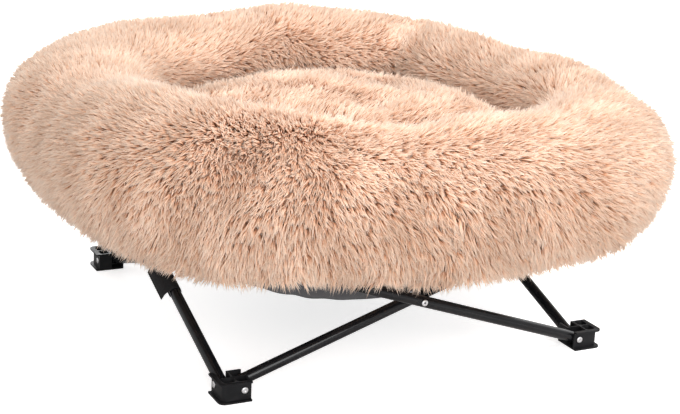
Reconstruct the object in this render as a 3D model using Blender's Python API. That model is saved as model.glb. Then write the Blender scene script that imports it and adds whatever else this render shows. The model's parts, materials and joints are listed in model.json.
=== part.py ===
"""Raised plush pet bed on a four-sided folding scissor frame.

The frame is four moulded feet, four moulded top hubs turned over from the same mould, and eight
tubes that cross in pairs on the four sides.  A fabric sling hangs from the top hubs, and a round
plush bed with a thick bolster lies in it.  Metres, Z up, origin on the floor under the middle.
"""
import math

import bmesh
import bpy
import numpy as np
from mathutils import Matrix, Vector

# Overall frame
FOOTPRINT = 0.600            # outer corner to outer corner of two neighbouring feet
TUBE_ANGLE = 18.5            # degrees that a tube rises above the floor when the frame is open
CLEARANCE = 0.0003           # gap between pieces that touch

# Tubes
TUBE_OD = 0.016
TUBE_WALL = 0.0012
TUBE_SIDES = 16
BORE_SIDES = 10

# Moulded hub, measured from its outer corner; u and v run along the two sides of the frame
HUB_HEIGHT = 0.028
HUB_FLANGE = 0.0025          # thickness of the top and bottom plates
HUB_RECESS = 0.005           # how far the walls stand back from the plates
HUB_WALL = 0.0025
HUB_END_WALL = 0.003         # wall on the frame's inner side, behind the inner channel
HUB_CORNER_RADIUS = 0.009
HUB_EDGE_RADIUS = 0.00125
POCKET_RADIUS = 0.004
PIVOT_HEIGHT = 0.015         # pivot above the hub's closed plate
TUBE_END_GAP = 0.001         # between a tube's round end and the wall that it turns beside
TUBE_PLAY = 0.0005           # gap between a tube and each channel wall
TUBE_SPACING = 0.002         # gap between two crossing tubes

# Rivets
RIVET_SHAFT = 0.005
RIVET_PLAY = 0.0003
RIVET_HEAD = 0.0092
RIVET_HEAD_HEIGHT = 0.0014
RIVET_HEAD_RIM = 0.0004      # straight edge of the head, under its crown
RIVET_CROWN = 0.0066         # across the head's flat crown
RIVET_BORE = 0.0030          # the tubular rivet's open end
RIVET_BORE_DEPTH = 0.0022
RIVET_TAIL = 0.0078
RIVET_TAIL_CROWN = 0.0055
RIVET_TAIL_HEIGHT = 0.0011
RIVET_OVERRUN = 0.0006       # a blind rivet hole runs this far past the rivet's end
RIVET_SIDES = 10
SPACER_OD = 0.014

# Tie strap round the left outer tube
STRAP_THICKNESS = 0.0012
STRAP_WIDTH = 0.055
STRAP_FROM_CROSSING = 0.018
STRAP_TAIL = 0.020
STRAP_TAIL_FLARE = 0.003
STRAP_START = 160            # degrees round the tube, from its side that faces into the frame
STRAP_WRAP = -300

# Sling
SLING_THICKNESS = 0.0025
SLING_BOTTOM = 0.046         # underside of the sling above the floor
SLING_CORNER_INSET = 0.010   # the sling's corner from the hub's outer corner
SLING_EDGE_DRAW = 0.075      # how far each side is drawn in at its middle
SLING_LEVEL = 0.046          # the sling is level from this far before it meets the hubs
SLING_CURVE = 2.8            # 2 hangs as a plain bowl, more is flatter in the middle
SLING_STEPS = 12
BINDING_WIDTH = 0.007
BINDING_THICKNESS = 0.0045
PATCH_SIZE = 0.030
PATCH_RADIUS = 0.004
PATCH_INSET = 0.003          # from the sling's corner
PATCH_THICKNESS = 0.0016

# Plush bed; heights are above the plane on which the bed lies
BOLSTER_CORNER_ROOM = 0.027  # between a hub's outer corner and the plush that hangs outside it
BOLSTER_HALF_WIDTH = 0.116
BOLSTER_SQUARENESS = 2.32    # 2 is a round plan, more is squarer
BOLSTER_TOP = 0.151
BOLSTER_TOP_RISE = (0.001, 0.043)    # extra height towards +X and +Y
BOLSTER_FRONT_LIFT = 0.056   # extra height of the front, fading by a square towards the back
BOLSTER_MIDDLE = 0.078
BOLSTER_MIDDLE_RISE = (-0.008, 0.020)
BOLSTER_DROP = 0.039         # lowest line of the hanging plush, below the plane
BOLSTER_DROP_RISE = (0.006, 0.011)
BOLSTER_SEAT = 0.072         # flat underside on the inner side of the roll's middle
LIP_START = 0.062            # inner face of the plush that hangs outside the frame
LIP_WIDTH = 0.010
PLEATS = 13
PLEAT_DEPTH = 0.0035
BOLSTER_TURNS = 52
# creases of the roll: direction in degrees, draw of the inner side, drop of the crest, half width;
# the last is a swell, whose crest stands higher
BOLSTER_CREASES = ((44, 0.018, 0.006, 8), (-18, 0.014, 0.0, 9), (112, 0.010, 0.003, 8),
                   (152, 0.016, 0.0, 28), (-150, 0.0, -0.018, 28))
CUSHION_EDGE = 0.104         # height of the cushion's rolled edge
CUSHION_CROWN = 0.024
CUSHION_GAP = 0.006
CUSHION_SIDES = 40
# sewn tufts and a slack place by the rim: direction in degrees, radius, depth, width
CUSHION_DIPS = ((-129, 0.126, 0.014, 0.034), (-75, 0.064, 0.013, 0.032),
                (-76, 0.159, 0.013, 0.032), (28, 0.130, 0.010, 0.034),
                (121, 0.225, 0.026, 0.038))
BASE_EDGE_ROOM = 0.014       # the padded base stops this far inside the sling's level rim
BASE_GAP = 0.0036            # room for the flat facets of the sling and of the base
BASE_RINGS = 7
BASE_SIDES = 36

# Sizes worked out from the ones above
HALF = FOOTPRINT / 2
THETA = math.radians(TUBE_ANGLE)
TUBE_R = TUBE_OD / 2
OUTER_PLANE = HUB_RECESS + HUB_WALL + TUBE_PLAY + TUBE_R
INNER_PLANE = OUTER_PLANE + TUBE_OD + TUBE_SPACING
CHANNEL = TUBE_OD + 2 * TUBE_PLAY
OUTER_CHANNEL = OUTER_PLANE - CHANNEL / 2
INNER_CHANNEL = INNER_PLANE - CHANNEL / 2
DIVIDER = OUTER_CHANNEL + CHANNEL
INNER_WELL = DIVIDER + HUB_WALL
HUB_SIZE = INNER_CHANNEL + CHANNEL + HUB_END_WALL
PIVOT_INSET = INNER_WELL + TUBE_END_GAP + TUBE_R
PIVOT_SPAN = FOOTPRINT - 2 * PIVOT_INSET
PIVOT_RISE = PIVOT_SPAN * math.tan(THETA)
TUBE_LENGTH = PIVOT_SPAN / math.cos(THETA)
TOP_PIVOT_Z = PIVOT_HEIGHT + PIVOT_RISE
HUB_TOP_Z = TOP_PIVOT_Z + PIVOT_HEIGHT
CROSSING_Z = PIVOT_HEIGHT + PIVOT_RISE / 2
RIVET_HOLE = RIVET_SHAFT + 2 * RIVET_PLAY
SLING_TOP_Z = HUB_TOP_Z + CLEARANCE + SLING_THICKNESS
PATCH_TOP_Z = SLING_TOP_Z + CLEARANCE + PATCH_THICKNESS
SEAT_Z = PATCH_TOP_Z + CLEARANCE
BASE_TOP_Z = SEAT_Z - CLEARANCE
HUB_INNER = HALF - HUB_SIZE
BOWL_RADIUS = HUB_INNER * math.sqrt(2) - SLING_LEVEL
BASE_RADIUS = BOWL_RADIUS - BASE_EDGE_ROOM
PLAN_DIAGONAL = 2 ** (0.5 - 1 / BOLSTER_SQUARENESS)
BOLSTER_RADIUS = (HALF * math.sqrt(2) + BOLSTER_CORNER_ROOM) / PLAN_DIAGONAL - LIP_START

CORNERS = ("front_left", "front_right", "rear_right", "rear_left")
SIDES = ("front", "right", "rear", "left")


def clear_scene():
    for obj in list(bpy.data.objects):
        bpy.data.objects.remove(obj, do_unlink=True)


def material(name, colour, roughness, metallic=0.0):
    mat = bpy.data.materials.new(name)
    mat.use_nodes = True
    shader = mat.node_tree.nodes["Principled BSDF"]
    shader.inputs["Base Color"].default_value = (*colour, 1.0)
    shader.inputs["Roughness"].default_value = roughness
    shader.inputs["Metallic"].default_value = metallic
    mat.diffuse_color = (*colour, 1.0)
    return mat


def add_object(name, mesh, mat, matrix=None, parent=None):
    """Links a mesh as an object; matrix is its place in the world."""
    obj = bpy.data.objects.new(name, mesh)
    bpy.context.collection.objects.link(obj)
    if not mesh.materials:
        mesh.materials.append(mat)
    if parent is not None:
        obj.parent = parent
        obj.matrix_parent_inverse = parent_matrix(parent).inverted()
    obj.matrix_basis = matrix or Matrix.Identity(4)
    return obj


def parent_matrix(parent):
    """World matrix of an unturned empty."""
    return Matrix.Translation(parent.location)


def pivot(name, place):
    """An empty that marks a joint's axis; the moving pieces hang from it."""
    empty = bpy.data.objects.new(name, None)
    empty.location = place
    empty.empty_display_size = 0.02
    bpy.context.collection.objects.link(empty)
    return empty


def mesh_from(name, verts, faces, smooth_angle=None):
    """Closed mesh from arrays, with its faces turned outwards."""
    mesh = bpy.data.meshes.new(name)
    mesh.from_pydata([tuple(v) for v in verts], [], [tuple(f) for f in faces])
    bm = bmesh.new()
    bm.from_mesh(mesh)
    bmesh.ops.remove_doubles(bm, verts=bm.verts, dist=1e-7)
    bmesh.ops.recalc_face_normals(bm, faces=bm.faces)
    bm.to_mesh(mesh)
    bm.free()
    shade(mesh, smooth_angle)
    return mesh


def shade(mesh, smooth_angle):
    if smooth_angle is not None:
        mesh.shade_smooth()
        mesh.set_sharp_from_angle(angle=math.radians(smooth_angle))


def rounded_outline(low, high, radii, steps=4):
    """Rectangle from low to high with one radius for each corner, anticlockwise from low."""
    centres = ((low[0], low[1], 1, 1), (high[0], low[1], -1, 1),
               (high[0], high[1], -1, -1), (low[0], high[1], 1, -1))
    points = []
    for corner, (x, y, sx, sy) in enumerate(centres):
        radius = radii[corner]
        if radius <= 0:
            points.append((x, y))
            continue
        start = math.pi + corner * math.pi / 2
        for step in range(steps + 1):
            angle = start + step / steps * math.pi / 2
            points.append((x + sx * radius + radius * math.cos(angle),
                           y + sy * radius + radius * math.sin(angle)))
    return points


def prism(name, outline, z_low, z_high):
    """Straight extrusion of an outline between two heights."""
    count = len(outline)
    verts = [(x, y, z_low) for x, y in outline] + [(x, y, z_high) for x, y in outline]
    faces = [tuple(range(count - 1, -1, -1)), tuple(range(count, 2 * count))]
    for i in range(count):
        j = (i + 1) % count
        faces.append((i, j, count + j, count + i))
    return mesh_from(name, verts, faces)


def lathe(name, profile, sides, smooth_angle=40, closed=False):
    """Turns a profile of (radius, height) pairs round Z; points at radius 0 close the ends."""
    rings = []
    verts = []
    for radius, height in profile:
        if radius < 1e-9:
            rings.append([len(verts)] * sides)
            verts.append((0.0, 0.0, height))
            continue
        rings.append(list(range(len(verts), len(verts) + sides)))
        for side in range(sides):
            angle = 2 * math.pi * side / sides
            verts.append((radius * math.cos(angle), radius * math.sin(angle), height))
    faces = []
    pairs = list(zip(rings, rings[1:] + (rings[:1] if closed else [])))
    for lower, upper in pairs if closed else pairs[:len(rings) - 1]:
        for i in range(sides):
            j = (i + 1) % sides
            ring = [lower[i], lower[j], upper[j], upper[i]]
            face = [v for n, v in enumerate(ring) if v not in ring[:n]]
            if len(face) > 2:
                faces.append(face)
    return mesh_from(name, verts, faces, smooth_angle)


def cutter(name, mesh, matrix=None):
    """A hidden solid that is only there to cut others."""
    obj = bpy.data.objects.new(name, mesh)
    bpy.context.collection.objects.link(obj)
    obj.matrix_basis = matrix or Matrix.Identity(4)
    obj.hide_render = True
    obj.display_type = "WIRE"
    return obj


def cut(obj, tool):
    modifier = obj.modifiers.new("cut_" + tool.name, "BOOLEAN")
    modifier.operation = "DIFFERENCE"
    modifier.solver = "EXACT"
    modifier.object = tool


def baked(name, obj, smooth_angle=30):
    """The mesh of an object with its modifiers, so that copies can share it."""
    bpy.context.view_layer.update()
    evaluated = obj.evaluated_get(bpy.context.evaluated_depsgraph_get())
    mesh = bpy.data.meshes.new_from_object(evaluated)
    mesh.name = name
    shade(mesh, smooth_angle)
    for modifier in list(obj.modifiers):
        tool = modifier.object
        obj.modifiers.remove(modifier)
        bpy.data.objects.remove(tool, do_unlink=True)
    bpy.data.objects.remove(obj, do_unlink=True)
    return mesh


def along(start, end):
    """Matrix that stands Z along the line from start to end, with its origin at start."""
    direction = (Vector(end) - Vector(start)).normalized()
    return Matrix.Translation(start) @ direction.to_track_quat("Z", "Y").to_matrix().to_4x4()


def corner_matrix(index):
    """From a hub's own frame, with its outer corner at the origin, to its place on the floor."""
    turn = Matrix.Rotation(index * math.pi / 2, 4, "Z")
    return turn @ Matrix.Translation((-HALF, -HALF, 0))


def top_matrix(index):
    """The same hub turned over about its diagonal, at the top of the frame."""
    flip = Matrix(((0, 1, 0, 0), (1, 0, 0, 0), (0, 0, -1, HUB_TOP_Z), (0, 0, 0, 1)))
    return corner_matrix(index) @ flip


def hub_pocket(name, low, high, radii):
    """Well cut down from the open plate to the closed one."""
    outline = rounded_outline(low, high, radii, 3)
    return cutter(name, prism(name, outline, HUB_FLANGE, HUB_HEIGHT + HUB_FLANGE))


def bore_mesh(name, length):
    """Cutter for a rivet hole, along Z from the origin."""
    radius = RIVET_HOLE / 2
    return lathe(name, [(0, 0), (radius, 0), (radius, length), (0, length)], BORE_SIDES)


def hub_mesh(mat):
    """Moulding with two plates, recessed outer walls, two tube channels and two wells."""
    edge = HUB_SIZE
    small = HUB_EDGE_RADIUS
    block = rounded_outline((0, 0), (edge, edge), (HUB_CORNER_RADIUS, small, small, small))
    hub = add_object("hub_blank", prism("hub_blank", block, 0, HUB_HEIGHT), mat)

    reach = edge + HUB_RECESS
    inner_radius = HUB_CORNER_RADIUS - HUB_RECESS / 2
    arc = rounded_outline((HUB_RECESS, HUB_RECESS), (edge, edge), (inner_radius, 0, 0, 0))
    inner = [p for p in arc if p[0] < edge - small and p[1] < edge - small]
    groove = [(-HUB_RECESS, reach), (-HUB_RECESS, -HUB_RECESS), (reach, -HUB_RECESS)]
    groove += [(reach, HUB_RECESS)] + inner[::-1] + [(HUB_RECESS, reach)]
    cut(hub, cutter("hub_groove", prism("hub_groove", groove, HUB_FLANGE,
                                        HUB_HEIGHT - HUB_FLANGE)))

    wall = HUB_RECESS + HUB_WALL
    well_end = DIVIDER - HUB_WALL
    radius = POCKET_RADIUS
    round_all = (radius, radius, radius, radius)
    cut(hub, hub_pocket("corner_well", (wall, wall), (DIVIDER, well_end), round_all))
    cut(hub, hub_pocket("side_well", (INNER_WELL, wall), (edge - HUB_WALL, well_end), round_all))
    cut(hub, hub_pocket("outer_channel", (OUTER_CHANNEL, DIVIDER), (DIVIDER, reach),
                        (0, 0, 0, 0)))
    cut(hub, hub_pocket("inner_channel", (INNER_WELL, INNER_CHANNEL),
                        (reach, INNER_CHANNEL + CHANNEL), (0, 0, 0, 0)))

    place = along((PIVOT_INSET, 0, PIVOT_HEIGHT), (PIVOT_INSET, reach, PIVOT_HEIGHT))
    cut(hub, cutter("inner_bore", bore_mesh("inner_bore", reach), place))
    place = along((0, PIVOT_INSET, PIVOT_HEIGHT), (reach, PIVOT_INSET, PIVOT_HEIGHT))
    outer_bore = bore_mesh("outer_bore", INNER_WELL + RIVET_OVERRUN)
    cut(hub, cutter("outer_bore", outer_bore, place))
    return baked("hub", hub)


def dome_profile(radius, length, rings):
    """Straight bar with round ends centred on both pivots, as (radius, height) pairs."""
    low = [(radius * math.cos(a), radius * math.sin(a))
           for a in np.linspace(-math.pi / 2, 0, rings + 1)]
    high = [(radius * math.cos(a), length + radius * math.sin(a))
            for a in np.linspace(0, math.pi / 2, rings + 1)]
    profile = low + high
    profile[0] = (0.0, profile[0][1])
    profile[-1] = (0.0, profile[-1][1])
    return profile


def tube_mesh(mat):
    """Hollow tube along Z from pivot to pivot, with domed ends and three rivet holes along X."""
    outer = lathe("tube_outer", dome_profile(TUBE_R, TUBE_LENGTH, 3), TUBE_SIDES)
    tube = add_object("tube_blank", outer, mat)
    bore_radius = TUBE_R - TUBE_WALL
    hollow = lathe("tube_hollow", dome_profile(bore_radius, TUBE_LENGTH, 2), TUBE_SIDES)
    cut(tube, cutter("tube_hollow", hollow))
    for share in (0.0, 0.5, 1.0):
        height = share * TUBE_LENGTH
        place = along((-TUBE_OD, 0, height), (TUBE_OD, 0, height))
        name = "tube_hole_%d" % round(share * 2)
        cut(tube, cutter(name, bore_mesh(name, 2 * TUBE_OD), place))
    return baked("tube", tube)


def rivet_mesh(name, length, tail_head):
    """Tubular rivet along Z: domed head below 0, shaft, and a rolled tail where it is free."""
    shaft = RIVET_SHAFT / 2
    bore = RIVET_BORE / 2
    bottom = RIVET_BORE_DEPTH - RIVET_HEAD_HEIGHT
    profile = [(0.0, bottom), (bore, bottom), (bore, -RIVET_HEAD_HEIGHT),
               (RIVET_CROWN / 2, -RIVET_HEAD_HEIGHT), (RIVET_HEAD / 2, -RIVET_HEAD_RIM),
               (RIVET_HEAD / 2, 0.0), (shaft, 0.0), (shaft, length)]
    if tail_head:
        end = length + RIVET_TAIL_HEIGHT
        profile += [(RIVET_TAIL / 2, length), (RIVET_TAIL_CROWN / 2, end), (0.0, end)]
    else:
        profile.append((0.0, length))
    return lathe(name, profile, RIVET_SIDES)


def spacer_mesh():
    """Nylon washer between two crossing tubes."""
    hole = RIVET_HOLE / 2
    edge = SPACER_OD / 2
    thick = TUBE_SPACING - 2 * CLEARANCE
    profile = [(hole, 0), (edge, 0), (edge, thick), (hole, thick)]
    return lathe("cross_spacer", profile, TUBE_SIDES, 30, closed=True)


def side_point(side, inset, x, z):
    """A point on a side of the frame: x runs left to right as seen from outside."""
    turn = Matrix.Rotation(side * math.pi / 2, 4, "Z")
    return turn @ Vector((x, -HALF + inset, z))


def tube_place(side, inner):
    """A tube's matrix, with its holes square to its side of the frame."""
    reach = PIVOT_SPAN / 2
    sign = -1 if inner else 1
    inset = INNER_PLANE if inner else OUTER_PLANE
    low = side_point(side, inset, sign * reach, PIVOT_HEIGHT)
    high = side_point(side, inset, -sign * reach, TOP_PIVOT_Z)
    z_axis = (high - low).normalized()
    x_axis = (side_point(side, 1.0, 0, 0) - side_point(side, 0.0, 0, 0)).normalized()
    y_axis = z_axis.cross(x_axis)
    basis = Matrix((x_axis, y_axis, z_axis)).transposed().to_4x4()
    return Matrix.Translation(low) @ basis


def rivet_seats():
    """Head plane and length of the rivet in the outer and in the inner channel."""
    head = HUB_RECESS - CLEARANCE
    outer_end = DIVIDER + HUB_WALL - CLEARANCE
    inner_end = HUB_SIZE + CLEARANCE
    return head, outer_end - head, inner_end - head


def build_frame(mats):
    hub = hub_mesh(mats["moulding"])
    tube = tube_mesh(mats["steel"])
    head, outer_length, inner_length = rivet_seats()
    outer_rivet = rivet_mesh("outer_rivet", outer_length, False)
    inner_rivet = rivet_mesh("inner_rivet", inner_length, True)
    cross_head = OUTER_PLANE - TUBE_R - CLEARANCE
    cross_length = INNER_PLANE + TUBE_R + CLEARANCE - cross_head
    cross_rivet = rivet_mesh("cross_rivet", cross_length, True)
    spacer = spacer_mesh()

    for index, corner in enumerate(CORNERS):
        for level, place in (("foot", corner_matrix(index)), ("hub", top_matrix(index))):
            outer_axis = place @ Vector((0, PIVOT_INSET, PIVOT_HEIGHT))
            empty = pivot("%s_%s_axis" % (level, corner), outer_axis)
            add_object("%s_%s" % (level, corner), hub, mats["moulding"], place, empty)
            start = (head, PIVOT_INSET, PIVOT_HEIGHT)
            seat = place @ along(start, (1, PIVOT_INSET, PIVOT_HEIGHT))
            name = "%s_%s_outer_rivet" % (level, corner)
            add_object(name, outer_rivet, mats["rivet"], seat, empty)
            start = (PIVOT_INSET, head, PIVOT_HEIGHT)
            seat = place @ along(start, (PIVOT_INSET, 1, PIVOT_HEIGHT))
            name = "%s_%s_inner_rivet" % (level, corner)
            add_object(name, inner_rivet, mats["rivet"], seat, empty)

    for index, side in enumerate(SIDES):
        empty = pivot("cross_%s_axis" % side, side_point(index, OUTER_PLANE, 0, CROSSING_Z))
        for inner in (True, False):
            name = "tube_%s_%s" % (side, "inner" if inner else "outer")
            add_object(name, tube, mats["steel"], tube_place(index, inner), empty)
        start = side_point(index, cross_head, 0, CROSSING_Z)
        seat = along(start, side_point(index, HALF, 0, CROSSING_Z))
        add_object("cross_%s_rivet" % side, cross_rivet, mats["rivet"], seat, empty)
        start = side_point(index, OUTER_PLANE + TUBE_R + CLEARANCE, 0, CROSSING_Z)
        seat = along(start, side_point(index, HALF, 0, CROSSING_Z))
        add_object("cross_%s_spacer" % side, spacer, mats["nylon"], seat, empty)


def build_strap(mats):
    """Hook-and-loop tie strap wrapped round the left outer tube, with its tail hanging free."""
    inner_radius = TUBE_R + CLEARANCE
    outer_radius = inner_radius + STRAP_THICKNESS
    wrap = math.radians(STRAP_WRAP)
    start = math.radians(STRAP_START)
    arc_steps = 16
    tail_steps = 5
    centre = []
    for step in range(arc_steps + 1):
        angle = start + wrap * step / arc_steps
        radius = (inner_radius + outer_radius) / 2
        centre.append((radius * math.cos(angle), radius * math.sin(angle)))
    turn_end = start + wrap
    tangent = (math.sin(turn_end), -math.cos(turn_end))
    normal = (math.cos(turn_end), math.sin(turn_end))
    for step in range(1, tail_steps + 1):
        share = step / tail_steps
        forward = share * STRAP_TAIL
        out = STRAP_TAIL_FLARE * math.sin(share * math.pi) * (1 - 0.35 * share)
        x0, y0 = centre[arc_steps]
        centre.append((x0 + tangent[0] * forward + normal[0] * out,
                       y0 + tangent[1] * forward + normal[1] * out))
    path = np.array(centre)
    direction = np.gradient(path, axis=0)
    direction /= np.linalg.norm(direction, axis=1)[:, None]
    side = np.stack([direction[:, 1], -direction[:, 0]], 1) * STRAP_THICKNESS / 2
    middle = TUBE_LENGTH / 2 - STRAP_FROM_CROSSING
    verts = []
    for point, offset in zip(path, side):
        for sign in (1, -1):
            x, y = point + sign * offset
            verts.append((x, y, middle - STRAP_WIDTH))
            verts.append((x, y, middle))
    faces = [(0, 1, 3, 2)]
    count = len(path)
    for i in range(count - 1):
        a = 4 * i
        b = a + 4
        faces += [(a, b, b + 1, a + 1), (a + 2, a + 3, b + 3, b + 2), (a, a + 2, b + 2, b),
                  (a + 1, b + 1, b + 3, a + 3)]
    last = 4 * (count - 1)
    faces.append((last, last + 2, last + 3, last + 1))
    mesh = mesh_from("tie_strap", verts, faces, 40)
    place = tube_place(3, False)
    empty = pivot("tie_strap_axis", side_point(3, OUTER_PLANE, 0, CROSSING_Z))
    add_object("tie_strap", mesh, mats["webbing"], place, empty)


def bowl_height(x, y):
    """Underside of the hanging sling: a bowl that levels off where it lies on the hubs."""
    share = np.minimum(np.hypot(x, y) / BOWL_RADIUS, 1.0)
    rim = HUB_TOP_Z + CLEARANCE
    return SLING_BOTTOM + (rim - SLING_BOTTOM) * share ** SLING_CURVE


def sling_plan(s, t):
    """Plan of the sling for s and t from -1 to 1, with its four sides drawn in."""
    reach = HALF - SLING_CORNER_INSET
    x = s * (reach - SLING_EDGE_DRAW * (1 - t ** 2))
    y = t * (reach - SLING_EDGE_DRAW * (1 - s ** 2))
    return x, y


def hub_line():
    """Value of s and t at which the sling's diagonal comes to a hub's inner corner."""
    reach = HALF - SLING_CORNER_INSET
    s = 1.0
    for _ in range(40):
        s = (HUB_INNER - CLEARANCE) / (reach - SLING_EDGE_DRAW * (1 - s ** 2))
    return s


def grid_solid(name, x, y, z_low, z_high, smooth_angle=60):
    """Closed sheet between two surfaces given on the same grid."""
    rows, cols = x.shape
    low = np.stack([x, y, z_low], -1).reshape(-1, 3)
    high = np.stack([x, y, z_high], -1).reshape(-1, 3)
    verts = np.concatenate([low, high])
    top = rows * cols
    faces = []
    for i in range(rows - 1):
        for j in range(cols - 1):
            a = i * cols + j
            quad = (a, a + 1, a + cols + 1, a + cols)
            faces.append(quad[::-1])
            faces.append(tuple(v + top for v in quad))
    rim = [j for j in range(cols)] + [i * cols + cols - 1 for i in range(1, rows)]
    rim += [(rows - 1) * cols + j for j in range(cols - 2, -1, -1)]
    rim += [i * cols for i in range(rows - 2, 0, -1)]
    for a, b in zip(rim, rim[1:] + rim[:1]):
        faces.append((a, b, b + top, a + top))
    return mesh_from(name, verts, faces, smooth_angle)


def build_sling(mats, bed):
    line = hub_line()
    steps = np.concatenate([[-1], np.linspace(-line, line, SLING_STEPS + 1), [1]])
    s, t = np.meshgrid(steps, steps, indexing="ij")
    x, y = sling_plan(s, t)
    z = bowl_height(x, y)
    add_object("sling", grid_solid("sling", x, y, z, z + SLING_THICKNESS), mats["sling"], None, bed)

    along_edge = steps[2:-2]
    for index, side in enumerate(SIDES):
        x, y = sling_plan(along_edge, -np.ones_like(along_edge))
        inner = y - CLEARANCE
        outer = y - CLEARANCE - BINDING_WIDTH
        middle = bowl_height(x, y) + SLING_THICKNESS / 2
        section = ((0.0, 0.5), (0.35, 0.5), (1.0, 0.25), (1.0, -0.25), (0.35, -0.5), (0.0, -0.5))
        rings = []
        for across, up in section:
            rings.append(np.stack([x, inner + across * (outer - inner),
                                   middle + up * BINDING_THICKNESS], -1))
        verts = np.stack(rings, 1)
        mesh = loft("binding_" + side, verts)
        turn = Matrix.Rotation(index * math.pi / 2, 4, "Z")
        add_object("sling_%s_binding" % side, mesh, mats["binding"], turn, bed)

    low = SLING_CORNER_INSET + PATCH_INSET
    high = low + PATCH_SIZE
    outline = rounded_outline((low, low), (high, high), (PATCH_RADIUS,) * 4, 3)
    patch = prism("corner_patch", outline, PATCH_TOP_Z - PATCH_THICKNESS, PATCH_TOP_Z)
    for index, corner in enumerate(CORNERS):
        add_object("sling_%s_patch" % corner, patch, mats["binding"], corner_matrix(index), bed)


def loft(name, verts):
    """Closed bar from rings of points, verts[ring, point]."""
    rings, sides = verts.shape[:2]
    faces = [tuple(range(sides - 1, -1, -1))]
    for i in range(rings - 1):
        for j in range(sides):
            a = i * sides + j
            b = i * sides + (j + 1) % sides
            faces.append((a, b, b + sides, a + sides))
    faces.append(tuple((rings - 1) * sides + j for j in range(sides)))
    return mesh_from(name, verts.reshape(-1, 3), faces, 50)


def plan_factor(angle):
    """Radius of the squarish plan in a direction, for a plan of radius 1 along the axes."""
    power = BOLSTER_SQUARENESS
    return (np.abs(np.cos(angle)) ** power + np.abs(np.sin(angle)) ** power) ** (-1 / power)


def tilted(level, rise, angle):
    return level + rise[0] * np.cos(angle) + rise[1] * np.sin(angle)


def crease(angle):
    """Draw of the inner side and drop of the crest in one direction."""
    draw = 0.0
    drop = 0.0
    for middle, inner, crest, half_width in BOLSTER_CREASES:
        away = (math.degrees(angle) - middle + 180) % 360 - 180
        share = math.exp(-(away / half_width) ** 2)
        draw += inner * share
        drop += crest * share
    return draw, drop


def bolster_section(angle):
    """Section of the roll in one direction, as offset from its middle and height.

    The upper half is half an ellipse.  The underside is flat where it lies on the sling and the
    hubs, and the plush outside them hangs down in a lip that follows a lower ellipse.
    """
    half = BOLSTER_HALF_WIDTH
    lift = BOLSTER_FRONT_LIFT * ((1 - math.sin(angle)) / 2) ** 2
    top = tilted(SEAT_Z + BOLSTER_TOP, BOLSTER_TOP_RISE, angle) + lift
    middle = tilted(SEAT_Z + BOLSTER_MIDDLE, BOLSTER_MIDDLE_RISE, angle)
    under = tilted(SEAT_Z - BOLSTER_DROP, BOLSTER_DROP_RISE, angle)
    pleat = PLEAT_DEPTH * math.cos(PLEATS * angle)
    draw, drop = crease(angle)
    points = []
    for t in np.linspace(0, math.pi, 12):
        inward = 0.5 - 0.5 * math.cos(t)
        offset = half * math.cos(t) + pleat * inward + draw * max(-math.cos(t), 0.0)
        points.append((offset, middle + (top - drop - middle) * math.sin(t)))
    for t in np.linspace(0, math.pi / 2, 4)[1:]:
        offset = -(BOLSTER_SEAT + (half - draw - BOLSTER_SEAT) * math.cos(t))
        points.append((offset, SEAT_Z + (middle - SEAT_Z) * (1 - math.sin(t))))
    points.append((LIP_START, SEAT_Z))
    lip_angle = math.acos((LIP_START + LIP_WIDTH) / half)
    bottom = middle - (middle - under) * math.sin(lip_angle)
    points.append((LIP_START + LIP_WIDTH * 0.25, bottom + LIP_WIDTH * 0.4))
    for t in np.linspace(lip_angle, 0, 5)[:-1]:
        points.append((half * math.cos(t), middle - (middle - under) * math.sin(t)))
    return points


def build_bolster(mats, bed):
    angles = np.linspace(0, 2 * math.pi, BOLSTER_TURNS, endpoint=False)
    verts = []
    for angle in angles:
        factor = plan_factor(angle)
        for offset, height in bolster_section(angle):
            radius = (BOLSTER_RADIUS + offset) * factor
            verts.append((radius * math.cos(angle), radius * math.sin(angle), height))
    count = len(verts) // BOLSTER_TURNS
    faces = []
    for i in range(BOLSTER_TURNS):
        for j in range(count):
            a = i * count + j
            b = i * count + (j + 1) % count
            c = ((i + 1) % BOLSTER_TURNS) * count
            faces.append((a, b, c + (j + 1) % count, c + j))
    add_object("bolster", mesh_from("bolster", verts, faces, 70), mats["plush"], None, bed)


def disc_solid(name, rings_xyz, smooth_angle=60):
    """Closed form from rings of points, its first and last rings gathered into one point each."""
    rings = len(rings_xyz)
    sides = rings_xyz[0].shape[0]
    verts = [rings_xyz[0].mean(0)] + [p for ring in rings_xyz[1:-1] for p in ring]
    verts.append(rings_xyz[-1].mean(0))
    last = len(verts) - 1
    faces = []
    for j in range(sides):
        k = (j + 1) % sides
        faces.append((0, 1 + k, 1 + j))
        for i in range(rings - 3):
            a = 1 + i * sides
            faces.append((a + j, a + k, a + sides + k, a + sides + j))
        a = 1 + (rings - 3) * sides
        faces.append((a + j, a + k, last))
    return mesh_from(name, verts, faces, smooth_angle)


def cushion_top(x, y, radius):
    """Crowned top of the centre cushion with its tufts drawn down."""
    share = np.hypot(x, y) / radius
    height = SEAT_Z + CUSHION_EDGE + CUSHION_CROWN * (1 - share ** 2)
    for direction, distance, depth, width in CUSHION_DIPS:
        cx = distance * math.cos(math.radians(direction))
        cy = distance * math.sin(math.radians(direction))
        height = height - depth * np.exp(-((x - cx) ** 2 + (y - cy) ** 2) / width ** 2)
    return height


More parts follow.
